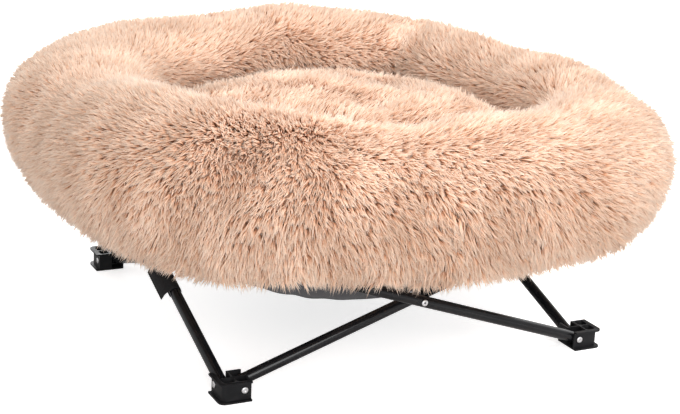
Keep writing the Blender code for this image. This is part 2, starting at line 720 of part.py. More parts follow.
def build_cushion(mats, bed):
    sides = CUSHION_SIDES
    angles = np.linspace(0, 2 * math.pi, sides, endpoint=False)
    radius = (BOLSTER_RADIUS - BOLSTER_HALF_WIDTH) * plan_factor(angles) - CUSHION_GAP
    reach = radius.min()
    bottom = SEAT_Z + CLEARANCE
    top_shares = (0.0, 0.16, 0.30, 0.43, 0.56, 0.69, 0.82, 0.93)
    side = ((0.985, 0.80), (1.0, 0.55), (0.975, 0.25), (0.92, 0.0))
    rings = []
    for share in top_shares:
        x = share * radius * np.cos(angles)
        y = share * radius * np.sin(angles)
        rings.append(np.stack([x, y, cushion_top(x, y, reach)], -1))
    for share, level in side:
        x = share * radius * np.cos(angles)
        y = share * radius * np.sin(angles)
        z = np.full(sides, bottom + level * (SEAT_Z + CUSHION_EDGE - bottom))
        rings.append(np.stack([x, y, z], -1))
    rings.append(np.stack([0 * angles, 0 * angles, np.full(sides, bottom)], -1))
    add_object("centre_cushion", disc_solid("centre_cushion", rings), mats["plush"], None, bed)


def build_base(mats, bed):
    """Padded base that fills the sling's bowl under the cushion."""
    sides = BASE_SIDES
    angles = np.linspace(0, 2 * math.pi, sides, endpoint=False)
    rings = []
    for radius in np.linspace(0, BASE_RADIUS, BASE_RINGS + 1):
        x = radius * np.cos(angles)
        y = radius * np.sin(angles)
        z = bowl_height(x, y) + SLING_THICKNESS + BASE_GAP
        rings.append(np.stack([x, y, z], -1))
    rim = rings[-1][0, 2]
    for share, level in ((1.0, 0.8), (0.985, 1.0), (0.0, 1.0)):
        x = share * BASE_RADIUS * np.cos(angles)
        y = share * BASE_RADIUS * np.sin(angles)
        rings.append(np.stack([x, y, np.full(sides, rim + level * (BASE_TOP_Z - rim))], -1))
    add_object("bed_base", disc_solid("bed_base", rings), mats["base"], None, bed)


def build():
    clear_scene()
    mats = {
        "moulding": material("black_moulding", (0.012, 0.012, 0.013), 0.42),
        "steel": material("black_powder_coat", (0.010, 0.010, 0.011), 0.35),
        "rivet": material("plated_rivet", (0.62, 0.62, 0.64), 0.28, 1.0),
        "nylon": material("black_nylon", (0.02, 0.02, 0.02), 0.5),
        "webbing": material("charcoal_webbing", (0.035, 0.034, 0.037), 0.8),
        "sling": material("charcoal_oxford", (0.034, 0.032, 0.038), 0.85),
        "binding": material("black_binding", (0.015, 0.015, 0.016), 0.8),
        "plush": material("apricot_plush", (0.70, 0.44, 0.30), 0.95),
        "base": material("base_cloth", (0.30, 0.24, 0.20), 0.9),
    }
    build_frame(mats)
    build_strap(mats)
    bed = pivot("bed_lift_axis", (0, 0, SEAT_Z))
    build_sling(mats, bed)
    build_bolster(mats, bed)
    build_cushion(mats, bed)
    build_base(mats, bed)


build()
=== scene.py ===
import json
import math

import bmesh
import bpy
import numpy as np
from mathutils import Matrix, Vector


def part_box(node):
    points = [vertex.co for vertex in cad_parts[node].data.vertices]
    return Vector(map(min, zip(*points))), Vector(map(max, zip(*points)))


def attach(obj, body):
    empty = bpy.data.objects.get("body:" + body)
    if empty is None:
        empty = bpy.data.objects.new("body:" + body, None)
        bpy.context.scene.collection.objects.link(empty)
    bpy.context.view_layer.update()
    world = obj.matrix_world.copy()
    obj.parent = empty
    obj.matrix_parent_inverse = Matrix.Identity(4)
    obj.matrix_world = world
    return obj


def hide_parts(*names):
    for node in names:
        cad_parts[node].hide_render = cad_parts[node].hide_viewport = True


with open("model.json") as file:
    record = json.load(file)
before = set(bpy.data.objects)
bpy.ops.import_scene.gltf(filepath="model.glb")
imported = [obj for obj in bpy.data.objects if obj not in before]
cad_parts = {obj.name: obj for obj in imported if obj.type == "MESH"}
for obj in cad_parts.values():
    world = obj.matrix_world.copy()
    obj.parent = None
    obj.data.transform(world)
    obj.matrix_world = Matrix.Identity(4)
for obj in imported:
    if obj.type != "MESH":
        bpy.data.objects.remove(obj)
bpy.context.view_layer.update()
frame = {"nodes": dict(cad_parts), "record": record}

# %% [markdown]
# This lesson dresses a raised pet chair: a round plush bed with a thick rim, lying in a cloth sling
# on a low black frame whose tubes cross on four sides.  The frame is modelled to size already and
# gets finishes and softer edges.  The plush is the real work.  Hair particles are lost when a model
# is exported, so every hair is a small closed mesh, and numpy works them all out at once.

nodes = frame["nodes"]
CORNERS = ("front_left", "front_right", "rear_right", "rear_left")
SIDES = ("front", "right", "rear", "left")

# %% [markdown]
# The camera stands where the photographer stood.  Its place was solved from the four feet and the
# tube ends, whose real distances are known.  A long lens keeps the far feet nearly as large as the
# near ones.  The three turns are given as yaw, pitch and roll and made into the camera's axes.

# %% Camera
CAMERA_PLACE = Vector((-0.9238, -1.8628, 0.7754))
CAMERA_TURNS = (0.4645, 0.2892, 0.0481)  # yaw, pitch and roll
LENS = 74.85
SENSOR = 36.0


def add_object(name, data):
    thing = bpy.data.objects.new(name, data)
    bpy.context.collection.objects.link(thing)
    return thing


def camera_axes(yaw, pitch, roll):
    """The view line points along yaw and down by pitch; roll turns the picture about that line."""
    ahead = Vector((math.sin(yaw) * math.cos(pitch), math.cos(yaw) * math.cos(pitch),
                    -math.sin(pitch)))
    level = Vector((math.cos(yaw), -math.sin(yaw), 0.0))
    above = level.cross(ahead)
    right = level * math.cos(roll) + above * math.sin(roll)
    top = above * math.cos(roll) - level * math.sin(roll)
    return Matrix((right, top, -ahead)).transposed().to_4x4()


lens = bpy.data.cameras.new("camera")
lens.lens = LENS
lens.sensor_width = SENSOR
camera = add_object("camera", lens)
camera.matrix_world = Matrix.Translation(CAMERA_PLACE) @ camera_axes(*CAMERA_TURNS)
bpy.context.scene.camera = camera
print("camera %.2f m from the middle of the bed" % CAMERA_PLACE.length)

# %% [markdown]
# Materials are made of nodes.  A few short helpers keep them readable: one makes a material, one
# adds a node with its settings, and others let a noise or a weave move the bump, the roughness or
# the colour.

# %% Material helpers


def new_material(name, colour, roughness, **settings):
    """A Principled material; settings are more of its shader's inputs."""
    mat = bpy.data.materials.new(name)
    mat.use_nodes = True
    shader = mat.node_tree.nodes["Principled BSDF"]
    shader.inputs["Base Color"].default_value = (*colour, 1.0)
    shader.inputs["Roughness"].default_value = roughness
    for key, value in settings.items():
        shader.inputs[key.replace("_", " ")].default_value = value
    return mat


def add_node(mat, kind, **settings):
    """A node in a material or world; settings are its inputs where the name is one, or else its
    properties."""
    node = mat.node_tree.nodes.new(kind)
    for key, value in settings.items():
        label = key.replace("_", " ")
        if label in node.inputs:
            node.inputs[label].default_value = value
        else:
            setattr(node, key, value)
    return node


def link(mat, source, target):
    mat.node_tree.links.new(source, target)


def to_shader(mat, source, socket):
    link(mat, source, mat.node_tree.nodes["Principled BSDF"].inputs[socket])


def object_coordinates(mat):
    return add_node(mat, "ShaderNodeTexCoord").outputs["Object"]


def ramp(mat, source, stops):
    """Turns a value into a colour; stops are (position, colour) pairs."""
    node = add_node(mat, "ShaderNodeValToRGB")
    elements = node.color_ramp.elements
    while len(elements) < len(stops):
        elements.new(0.5)
    for element, (position, colour) in zip(elements, stops):
        element.position = position
        element.color = (*colour, 1.0)
    link(mat, source, node.inputs["Fac"])
    return node.outputs["Color"]


def add_bump(mat, height, strength, distance):
    bump = add_node(mat, "ShaderNodeBump", Strength=strength, Distance=distance)
    link(mat, height, bump.inputs["Height"])
    to_shader(mat, bump.outputs["Normal"], "Normal")


def add_noise(mat, scale, detail):
    noise = add_node(mat, "ShaderNodeTexNoise", Scale=scale, Detail=detail)
    link(mat, object_coordinates(mat), noise.inputs["Vector"])
    return noise.outputs["Fac"]


def add_wave(mat, place, direction, **settings):
    wave = add_node(mat, "ShaderNodeTexWave", bands_direction=direction, **settings)
    link(mat, place, wave.inputs["Vector"])
    return wave.outputs["Fac"]


def colour_by(mat, value, stops):
    to_shader(mat, ramp(mat, value, stops), "Base Color")


def roughen_by(mat, value, low, high):
    """Lets a value from 0 to 1 move the roughness between two levels."""
    rough = add_node(mat, "ShaderNodeMapRange", To_Min=low, To_Max=high)
    link(mat, value, rough.inputs["Value"])
    to_shader(mat, rough.outputs["Result"], "Roughness")


def crossed_threads(mat, place, **settings):
    """The threads of a plain weave: one wave across times one wave along."""
    both = add_node(mat, "ShaderNodeMath", operation="MULTIPLY")
    for direction, socket in zip("XY", both.inputs):
        link(mat, add_wave(mat, place, direction, **settings), socket)
    return both.outputs["Value"]


# %% [markdown]
# The frame has three hard finishes.  Powder coat is a thin baked paint with a fine orange-peel
# skin.  The moulded feet and hubs are a glass-filled nylon, duller and with a slight grain.  The
# rivets are plated steel with faint marks from the press.  They differ mostly in how rough they
# are, so a noise moves each one's roughness.

# %% Hard finishes
powder_coat = new_material("powder_coat", (0.006, 0.006, 0.007), 0.14, Specular_IOR_Level=0.24)
orange_peel = add_noise(powder_coat, 900.0, 2.0)
add_bump(powder_coat, orange_peel, 0.08, 0.0002)
wear = add_noise(powder_coat, 38.0, 5.0)
roughen_by(powder_coat, wear, 0.08, 0.22)
colour_by(powder_coat, wear, [(0.3, (0.004, 0.004, 0.005)), (0.75, (0.010, 0.010, 0.011))])

moulded_nylon = new_material("moulded_nylon", (0.007, 0.007, 0.008), 0.5, Specular_IOR_Level=0.16)
grain = add_noise(moulded_nylon, 1600.0, 3.0)
add_bump(moulded_nylon, grain, 0.35, 0.00015)
flow = add_noise(moulded_nylon, 60.0, 4.0)
roughen_by(moulded_nylon, flow, 0.40, 0.62)
colour_by(moulded_nylon, flow, [(0.3, (0.005, 0.005, 0.006)), (0.8, (0.012, 0.012, 0.013))])

plated_steel = new_material("plated_steel", (0.62, 0.62, 0.64), 0.3, Metallic=1.0)
marks = add_noise(plated_steel, 700.0, 6.0)
roughen_by(plated_steel, marks, 0.20, 0.46)
colour_by(plated_steel, marks, [(0.25, (0.45, 0.44, 0.43)), (0.7, (0.72, 0.72, 0.74))])
print("hard finishes:", powder_coat.name, moulded_nylon.name, plated_steel.name)

# %% [markdown]
# The modelled feet and hubs are right in size, but their edges are knife sharp, and no moulding
# comes out of a tool like that.  A copy of each is merged into one skin and gets a narrow bevel,
# which catches the light as a rounded edge does.

# %% Softer edges on the mouldings
EDGE_RADIUS = 0.0005


def merged_copy(node, name):
    """A copy of a modelled node with its loose triangles joined, as a piece of its own."""
    mesh = nodes[node].data.copy()
    mesh.name = name
    bm = bmesh.new()
    bm.from_mesh(mesh)
    bmesh.ops.remove_doubles(bm, verts=bm.verts, dist=1e-6)
    bmesh.ops.dissolve_limit(bm, angle_limit=math.radians(1.0), verts=bm.verts, edges=bm.edges)
    bm.to_mesh(mesh)
    bm.free()
    return add_object(name, mesh)


def soften(piece, sharp, width=0.0, least=30):
    """Smooth shading up to a sharp angle, and a bevel of some width on edges over a least angle."""
    if width:
        bevel = piece.modifiers.new("rounded_edges", "BEVEL")
        bevel.width = width
        bevel.segments = 2
        bevel.limit_method = "ANGLE"
        bevel.angle_limit = math.radians(least)
    piece.data.shade_smooth()
    piece.data.set_sharp_from_angle(angle=math.radians(sharp))


def finish_piece(piece, mat, body, stands_for=()):
    """Gives a piece its material, the body it rides on and the nodes it stands for."""
    piece.data.materials.clear()
    piece.data.materials.append(mat)
    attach(piece, body)
    if stands_for:
        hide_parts(*stands_for)
    return piece


for corner in CORNERS:
    for level in ("foot", "hub"):
        node = "%s_%s" % (level, corner)
        piece = merged_copy(node, node + "_moulding")
        soften(piece, 50, EDGE_RADIUS, 40)
        finish_piece(piece, moulded_nylon, node, [node])
print("eight mouldings with %.1f mm edges" % (EDGE_RADIUS * 1000))

# %% [markdown]
# A tube is a profile carried along a straight path.  The path and its two ends come from the
# modelled node: its vertices are spread most along its own length, so the direction is the first
# axis of their spread, and the ends are how far they reach along it.  The new tubes have more
# sides than the modelled ones, and rounded ends.

# %% Tubes
TUBE_SIDES = 40
TUBE_END_RINGS = 7


def circle(steps):
    """Angles at even steps round a full turn."""
    return np.linspace(0, 2 * np.pi, steps, endpoint=False)


def unit(vectors):
    return vectors / np.maximum(np.linalg.norm(vectors, axis=-1, keepdims=True), 1e-9)


def read_field(items, field="co", width=3, kind=float):
    """One field of a mesh's vertices, loops or faces as an array, a row for each."""
    values = np.empty(len(items) * width, kind)
    items.foreach_get(field, values)
    return values.reshape(-1, width)


def write_points(mesh, points):
    mesh.vertices.foreach_set("co", points.astype(np.float32).ravel())


def write_mesh(name, verts, faces):
    """A smooth mesh object from an array of points and a list of faces."""
    mesh = bpy.data.meshes.new(name)
    mesh.from_pydata(np.asarray(verts).tolist(), [], faces)
    mesh.validate()
    mesh.shade_smooth()
    return add_object(name, mesh)


def turned(profile, start, axis, sides):
    """Rings of points from (radius, height) pairs turned round an axis from a start point.

    A point lies at start, plus height along the axis, plus radius times the cosine and sine of its
    angle along two directions square to the axis.
    """
    helper = (0, 0, 1) if abs(axis[2]) < 0.9 else (1, 0, 0)
    across = unit(np.cross(helper, axis))
    other = np.cross(axis, across)
    angle = circle(sides)
    ring = np.cos(angle)[:, None] * across + np.sin(angle)[:, None] * other
    profile = np.asarray(profile, float)
    return start + profile[:, 1, None, None] * axis + profile[:, 0, None, None] * ring[None]


def closed_faces(rings, sides):
    """Faces over rings of points; the first and last ring are single points."""
    j = np.arange(sides)
    k = (j + 1) % sides
    starts = 1 + np.arange(rings - 2)[:, None] * sides
    low, last = starts[:-1], starts[-1]
    quads = np.stack([low + j, low + k, low + sides + k, low + sides + j], -1).reshape(-1, 4)
    bottom = np.stack([0 * j, 1 + k, 1 + j], -1)
    top = np.stack([last + j, last + k, last + sides + 0 * j], -1)
    return quads.tolist() + bottom.tolist() + top.tolist()


def closed_rings(name, verts, sharp=None):
    """A closed skin over rings of points, the first and last rings gathered into single points."""
    flat = np.concatenate([verts[0].mean(0)[None], verts[1:-1].reshape(-1, 3),
                           verts[-1].mean(0)[None]])
    piece = write_mesh(name, flat, closed_faces(*verts.shape[:2]))
    if sharp is not None:
        piece.data.set_sharp_from_angle(angle=math.radians(sharp))
    return piece


def long_axis(points):
    """Middle, direction and reach of points that lie mostly along one line."""
    middle = (points.min(0) + points.max(0)) / 2
    direction = np.linalg.svd(points - points.mean(0), full_matrices=False)[2][0]
    reach = (points - middle) @ direction
    return middle, direction, reach.min(), reach.max()


def off_axis(points, middle, direction):
    """The distance of each point from a line."""
    offset = points - middle
    offset = offset - (offset @ direction)[:, None] * direction
    return np.linalg.norm(offset, axis=1)


for side in SIDES:
    for layer in ("inner", "outer"):
        node = "tube_%s_%s" % (side, layer)
        points = read_field(nodes[node].data.vertices)
        middle, direction, low, high = long_axis(points)
        radius = off_axis(points, middle, direction).max()
        quarter = np.linspace(0, np.pi / 2, TUBE_END_RINGS)
        bottom = [(radius * math.sin(t), low + radius * (1 - math.cos(t))) for t in quarter]
        top = [(radius * math.cos(t), high - radius * (1 - math.sin(t))) for t in quarter]
        rings = turned([(0.0, low)] + bottom + top + [(0.0, high)], middle, direction, TUBE_SIDES)
        piece = closed_rings(node + "_tube", rings)
        finish_piece(piece, powder_coat, node, [node])
print("eight tubes of %.1f mm" % (radius * 2000))

# %% [markdown]
# A tubular rivet is a pin with a low round head and an open middle.  That little ring is what
# makes it read as a rivet.  It is one profile turned round its axis.  The head is the end at which
# the modelled rivet is widest.

# %% Rivets and washers
RIVET_SIDES = 28
HEAD_HEIGHT = 0.0014
HEAD_BORE = 0.0030
BORE_DEPTH = 0.0022
CROWN_WIDTH = 0.0006  # the ring round the bore
SHAFT_RADIUS = 0.0025
END_REACH = 0.002  # how much of a rivet counts as its end


def widest_near(points, middle, direction, end):
    """The largest radius near one end of an axis."""
    near = np.abs((points - middle) @ direction - end) < END_REACH
    return off_axis(points[near], middle, direction).max()


def rivet_profile(length, head, shaft, tail):
    """(radius, height) pairs from the bore's floor, over the domed head and down the shaft."""
    bore = HEAD_BORE / 2
    dome = np.linspace(0, np.pi / 2, 6)
    crown = bore + CROWN_WIDTH
    profile = [(0.0, BORE_DEPTH), (bore, BORE_DEPTH), (bore, 0.0003), (crown, 0.0)]
    profile += [(crown + (head - crown) * math.sin(t), HEAD_HEIGHT * 0.8 * (1 - math.cos(t)))
                for t in dome[1:]]
    profile += [(head, HEAD_HEIGHT), (shaft, HEAD_HEIGHT), (shaft, length - HEAD_HEIGHT)]
    profile += [(tail, length - HEAD_HEIGHT), (tail, length - HEAD_HEIGHT / 2),
                (tail * 0.8, length), (0.0, length)]
    return profile


body_of = {}
for body, members in frame["record"]["behaviour"]["bodies"].items():
    for node in members:
        body_of[node] = body
for node in sorted(n for n in nodes if n.endswith("_rivet")):
    points = read_field(nodes[node].data.vertices)
    middle, direction, low, high = long_axis(points)
    ends = [widest_near(points, middle, direction, end) for end in (low, high)]
    if ends[1] > ends[0]:
        direction = -direction
        low, high = -high, -low
        ends.reverse()
    profile = rivet_profile(high - low, ends[0], min(ends[1], SHAFT_RADIUS), ends[1])
    rings = turned(profile, middle + direction * low, direction, RIVET_SIDES)
    piece = closed_rings(node + "_pin", rings, 35)
    finish_piece(piece, plated_steel, body_of[node], [node])

washer_finish = new_material("nylon_washer", (0.020, 0.020, 0.021), 0.45)
add_bump(washer_finish, add_noise(washer_finish, 1200.0, 2.0), 0.2, 0.0001)
for side in SIDES:
    node = "cross_%s_spacer" % side
    piece = merged_copy(node, node + "_washer")
    soften(piece, 40)
    finish_piece(piece, washer_finish, body_of[node], [node])
print("twenty rivets and four washers")

# %% [markdown]
# The light is soft and comes from all sides.  The world looks pure white to the camera and in
# reflections, and lights the object a little less than that.  Six large soft boxes shape the plush.

# %% Floor, backdrop and light
FLOOR_SIZE = 30.0
FLOOR_LIFT = 0.62  # brightness added to the floor for the camera alone
WORLD_STRENGTH = 0.84
WHITE = (1.0, 1.0, 1.0, 1.0)
# name, place, height aimed at over the origin, size in metres, watts
LAMPS = (("key_light", (1.5, -1.7, 2.3), 0.3, 1.0, 46),
         ("front_light", (-0.6, -2.9, 1.2), 0.2, 1.6, 50),
         ("top_light", (-0.3, 0.0, 2.8), 0.3, 1.8, 31),
         ("left_light", (-3.0, 0.2, 1.0), 0.2, 1.8, 7),
         ("back_light", (0.6, 3.0, 1.2), 0.2, 1.8, 45),
         ("right_light", (3.0, 0.6, 0.9), 0.2, 1.8, 12))

# the camera sees the white floor brighter than it is lit, so it meets the white backdrop, while
# the object's shadow still darkens it
floor_finish = new_material("studio_floor", (0.86, 0.86, 0.86), 0.9, Emission_Color=WHITE)
path = add_node(floor_finish, "ShaderNodeLightPath")
lift = add_node(floor_finish, "ShaderNodeMath", operation="MULTIPLY")
lift.inputs[1].default_value = FLOOR_LIFT
link(floor_finish, path.outputs["Is Camera Ray"], lift.inputs[0])
to_shader(floor_finish, lift.outputs["Value"], "Emission Strength")

half = FLOOR_SIZE / 2
floor = write_mesh("studio_floor", [(-half, -half, 0), (half, -half, 0), (half, half, 0),
                                    (-half, half, 0)], [(0, 1, 2, 3)])
floor.data.materials.append(floor_finish)

world = bpy.data.worlds.new("studio")
bpy.context.scene.world = world
world.use_nodes = True
world.node_tree.nodes.clear()
path = add_node(world, "ShaderNodeLightPath")
seen = add_node(world, "ShaderNodeMath", operation="MAXIMUM")
link(world, path.outputs["Is Camera Ray"], seen.inputs[0])
link(world, path.outputs["Is Glossy Ray"], seen.inputs[1])
soft = add_node(world, "ShaderNodeBackground", Color=WHITE, Strength=WORLD_STRENGTH)
white = add_node(world, "ShaderNodeBackground", Color=WHITE, Strength=1.0)
mix = add_node(world, "ShaderNodeMixShader")
link(world, seen.outputs["Value"], mix.inputs["Fac"])
link(world, soft.outputs["Background"], mix.inputs[1])
link(world, white.outputs["Background"], mix.inputs[2])
out = add_node(world, "ShaderNodeOutputWorld")
link(world, mix.outputs["Shader"], out.inputs["Surface"])

for name, place, height, size, watts in LAMPS:
    light = bpy.data.lights.new(name, "AREA")
    light.shape = "SQUARE"
    light.size = size
    light.energy = watts
    lamp = add_object(name, light)
    lamp.location = place
    aim = Vector((0, 0, height)) - Vector(place)
    lamp.rotation_euler = aim.to_track_quat("-Z", "Y").to_euler()
bpy.context.scene.view_settings.view_transform = "Standard"
print("white studio with", len(LAMPS), "soft boxes")

# %% [markdown]
# The plush bed is a ring whose section is a fat roll.  In plan it is a circle pulled towards a
# square, because four hubs carry its corners, and its back stands high.  The skin lies one pile's
# depth inside the outer surface.  Every point is a function of two angles: one round the bed and
# one round the roll.

# %% The roll as a surface of two angles
PILE = 0.013  # depth of the pile over the skin
PLAN_POWER = 2.32
ROLL_RADIUS = 0.368
ROLL_HALF_WIDTH = 0.116
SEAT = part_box("sling_front_left_patch")[1].z
ROLL_TOP = 0.151
ROLL_MIDDLE = 0.078
ROLL_DROP = 0.039
TOP_RISE = (0.001, 0.043)
FRONT_LIFT = 0.056
MIDDLE_RISE = (-0.008, 0.020)
DROP_RISE = (0.006, 0.011)
# creases: direction in degrees, draw of the inner side, drop of the crest, half width; a swell has
# a negative drop, so its crest stands higher
CREASES = ((44, 0.018, 0.0, 8), (-18, 0.014, 0.0, 9), (112, 0.010, 0.003, 8),
           (152, 0.016, 0.0, 28), (-150, 0.0, -0.018, 28), (54, 0.0, -0.007, 14),
           (14, 0.0, 0.008, 15))
# the front right corner of the roll is less full: direction in degrees, draw, half width
CORNER_TUCK = (-38, 0.008, 20)
# hem of the hanging plush: direction in degrees, how much lower, half width
HEM = ((-137, 0.013, 12), (-115, -0.002, 8), (-93, 0.012, 10))


def plan_factor(angle):
    """Radius of the plan in a direction: a circle for power 2, squarer for more."""
    return (np.abs(np.cos(angle)) ** PLAN_POWER
            + np.abs(np.sin(angle)) ** PLAN_POWER) ** (-1 / PLAN_POWER)


def leaning(level, rise, angle):
    """A height that grows by rise[0] towards +X and by rise[1] towards +Y."""
    return level + rise[0] * np.cos(angle) + rise[1] * np.sin(angle)


def degrees_from(angle, middle):
    """How far an angle lies from a direction in degrees, from -180 to 180."""
    return np.mod(np.degrees(angle) - middle + 180, 360) - 180


def bell(angle, middle, half_width):
    """A bell curve: e to minus the square of the angle from its middle over its half width."""
    return np.exp(-(degrees_from(angle, middle) / half_width) ** 2)


def crease(angle):
    """Draw and drop in a direction: the sum of every crease's own times its bell curve."""
    shares = [bell(angle, row[0], row[3]) for row in CREASES]
    return [sum(row[k] * share for row, share in zip(CREASES, shares)) for k in (1, 2)]


def roll_surface(around, section, depth):
    """Points of the roll for the angle round the bed and the angle round its section.

    Section angle 0 is the outermost line, a quarter turn is the crest, and half a turn the inner
    line.  Above the middle the section is half an ellipse; below, it is half an ellipse to the
    hanging hem, cut off level where the roll lies on the sling.  depth moves it inwards.  The
    front is lifted by the square of its share of the way to the front.  A crease lowers the crest
    and draws the inner side back, one corner is drawn in, and two slow sines make it lumpy.
    """
    lift = FRONT_LIFT * ((1 - np.sin(around)) / 2) ** 2
    top = leaning(SEAT + ROLL_TOP, TOP_RISE, around) + lift
    middle = leaning(SEAT + ROLL_MIDDLE, MIDDLE_RISE, around)
    under = leaning(SEAT - ROLL_DROP, DROP_RISE, around)
    for direction, lower, half_width in HEM:
        under = under - lower * bell(around, direction, half_width)
    half = ROLL_HALF_WIDTH - depth
    c = np.cos(section)
    s = np.sin(section)
    z = np.where(s > 0, middle + (top - depth - middle) * s,
                 middle + (middle - under - depth) * s)
    inner = np.clip((0.35 - c) / 0.3, 0, 1)
    floor_level = SEAT + 0.002
    z = np.where(s < 0, z * (1 - inner) + np.maximum(z, floor_level) * inner, z)
    radius = (ROLL_RADIUS + half * c) * plan_factor(around)
    lump = 0.0035 * np.sin(5 * around + 1.3) + 0.003 * np.sin(9 * around + 0.4 + section)
    radius = radius + lump * c
    direction, tuck, half_width = CORNER_TUCK
    radius = radius - tuck * bell(around, direction, half_width) * np.clip(c, 0, 1)
    draw, drop = crease(around)
    radius = radius + draw * np.clip(-c, 0, 1) * plan_factor(around)
    z = z + (lump - drop) * np.clip(s, 0, 1)
    return np.stack([radius * np.cos(around), radius * np.sin(around), z], -1)


# %% [markdown]
# Stuffed pieces swell between their seams.  A short cloth simulation shows this better than a
# formula: the skin starts a little small, is held where it is sewn or rests on something, and air
# pressure pushes the rest out.  Only the moved points are kept, so the finished mesh holds no
# simulation.  A limit on the movement keeps the piece inside its modelled space.

# %% Stuffing
SIMULATION_STEPS = 16
AIR_PRESSURE = 4.0


def inflate(piece, held, limit):
    """Swells a closed skin with cloth and pressure, and hands back its largest move.

    A point that wants to move by a distance d moves by limit times the hyperbolic tangent of
    d / limit, so small moves stay and large ones level off.
    """
    group = piece.vertex_groups.new(name="sewn")
    group.add(np.nonzero(held)[0].tolist(), 1.0, "REPLACE")
    before = read_field(piece.data.vertices)
    cloth = piece.modifiers.new("stuffing", "CLOTH")
    cloth.settings.use_pressure = True
    cloth.settings.uniform_pressure_force = AIR_PRESSURE
    cloth.settings.vertex_group_mass = "sewn"
    cloth.settings.effector_weights.gravity = 0.0
    cloth.settings.bending_stiffness = 1.0
    cloth.point_cache.frame_start = 1
    cloth.point_cache.frame_end = SIMULATION_STEPS
    for step in range(1, SIMULATION_STEPS + 1):
        bpy.context.scene.frame_set(step)
    solved = piece.evaluated_get(bpy.context.evaluated_depsgraph_get())
    after = read_field(solved.to_mesh().vertices)
    solved.to_mesh_clear()
    piece.modifiers.remove(cloth)
    piece.vertex_groups.remove(group)
    bpy.context.scene.frame_set(1)
    move = after - before
    size = np.maximum(np.linalg.norm(move, axis=1, keepdims=True), 1e-9)
    move *= limit * np.tanh(size / limit) / size
    write_points(piece.data, before + move)
    piece.data.update()
    return float(np.linalg.norm(move, axis=1).max())


# %% [markdown]
# Long pile lies in locks: neighbouring hairs cling together and share a tip.  The recipe is to
# spread lock centres over the skin, give each a direction from the way the pile is combed, and
# let a few hairs start round each centre and lean towards its tip.  A hair is a bent spindle with
# three sides, which takes only six triangles and is closed at both ends.

# %% Locks of pile
HAIR_SIDES = 3
HAIR_WIDTH = 0.0020
BEND_SHARE = 0.42  # place of a hair's thickest ring along its curve
TIP_SHARE = 0.15  # spread of a lock at its tip, of its spread at the root
HAIRS_PER_LOCK = 3
LOCK_SPREAD = 0.0029
ROOT_DEPTH = 0.003  # hairs start this far under the skin
STRAY = 0.0016  # typical stray of a tip from its lock


def spread_roots(piece, count, rng, wanted):
    """Places and normals of roots spread over a piece by area.

    Each triangle gets roots in proportion to its area times the share that wanted() gives for its
    middle.  With a the square root of one random number and b another, the place is (1-a) of the
    first corner, a(1-b) of the second and ab of the third.
    """
    mesh = piece.data
    mesh.calc_loop_triangles()
    corners = read_field(mesh.loop_triangles, "vertices", 3, np.int32)
    normals = read_field(mesh.vertices, "normal")[corners]
    places = read_field(mesh.vertices)[corners]
    area = np.linalg.norm(np.cross(places[:, 1] - places[:, 0], places[:, 2] - places[:, 0]),
                          axis=1) / 2
    total = np.cumsum(area * wanted(places.mean(1)))
    pick = (np.arange(count) + rng.random(count)) / count * total[-1]
    chosen = np.minimum(np.searchsorted(total, pick), len(total) - 1)
    a = np.sqrt(rng.random((count, 1)))
    b = rng.random((count, 1))

    def mixed(field):
        return (field[chosen, 0] * (1 - a) + field[chosen, 1] * a * (1 - b)
                + field[chosen, 2] * a * b)
    return mixed(places), unit(mixed(normals)), total[-1]


def swirl(points, size, seed):
    """A smooth vector field: five sine waves of the place for each axis, in random directions."""
    rng = np.random.default_rng(seed)
    field = np.zeros_like(points)
    for axis in range(3):
        for _ in range(5):
            wave = rng.normal(size=3)
            wave *= 2 * np.pi / size * (0.6 + 0.8 * rng.random()) / np.linalg.norm(wave)
            field[:, axis] += np.sin(points @ wave + rng.random() * 2 * np.pi)
    return field / 2.2


def hair_mesh(name, roots, bends, tips, widths, tint):
    """Bent three-sided spindles as one mesh.

    A hair is a point at its root, a ring at its bend and a point at its tip.  With t the share
    along, the ring's middle is (1-t)^2 root + 2t(1-t) bend + t^2 tip.  Its UV map holds the hair's
    own tint across and the share of the length along.
    """
    t = BEND_SHARE
    count = len(roots)
    middle = (1 - t) ** 2 * roots + 2 * t * (1 - t) * bends + t ** 2 * tips
    along = unit(tips - roots)
    helper = unit(np.cross(along, (0.31, 0.52, 0.79)))
    other = np.cross(along, helper)
    angle = np.arange(HAIR_SIDES)[:, None] * 2 * np.pi / HAIR_SIDES
    ring = middle[:, None] + widths[:, None, None] * (np.cos(angle) * helper[:, None]
                                                      + np.sin(angle) * other[:, None])
    verts = np.concatenate([roots[:, None], ring, tips[:, None]], 1)
    level = np.array([0.0] + [t] * HAIR_SIDES + [1.0])
    per_hair = len(level)

    loops = np.array(closed_faces(3, HAIR_SIDES)).ravel()
    offset = np.arange(count)[:, None]
    corners = count * len(loops)

    mesh = bpy.data.meshes.new(name)
    mesh.vertices.add(count * per_hair)
    write_points(mesh, verts)
    mesh.loops.add(corners)
    mesh.loops.foreach_set("vertex_index",
                           (loops[None] + offset * per_hair).astype(np.int32).ravel())
    mesh.polygons.add(corners // 3)
    mesh.polygons.foreach_set("loop_start", np.arange(0, corners, 3, dtype=np.int32))
    mesh.polygons.foreach_set("loop_total", np.full(corners // 3, 3, np.int32))
    mesh.update(calc_edges=True)
    uv = mesh.uv_layers.new(name="pile")
    corner_uv = np.stack([np.repeat(tint, len(loops)), np.tile(level[loops], count)], -1)
    uv.data.foreach_set("uv", corner_uv.astype(np.float32).ravel())
    mesh.shade_smooth()
    return add_object(name, mesh)


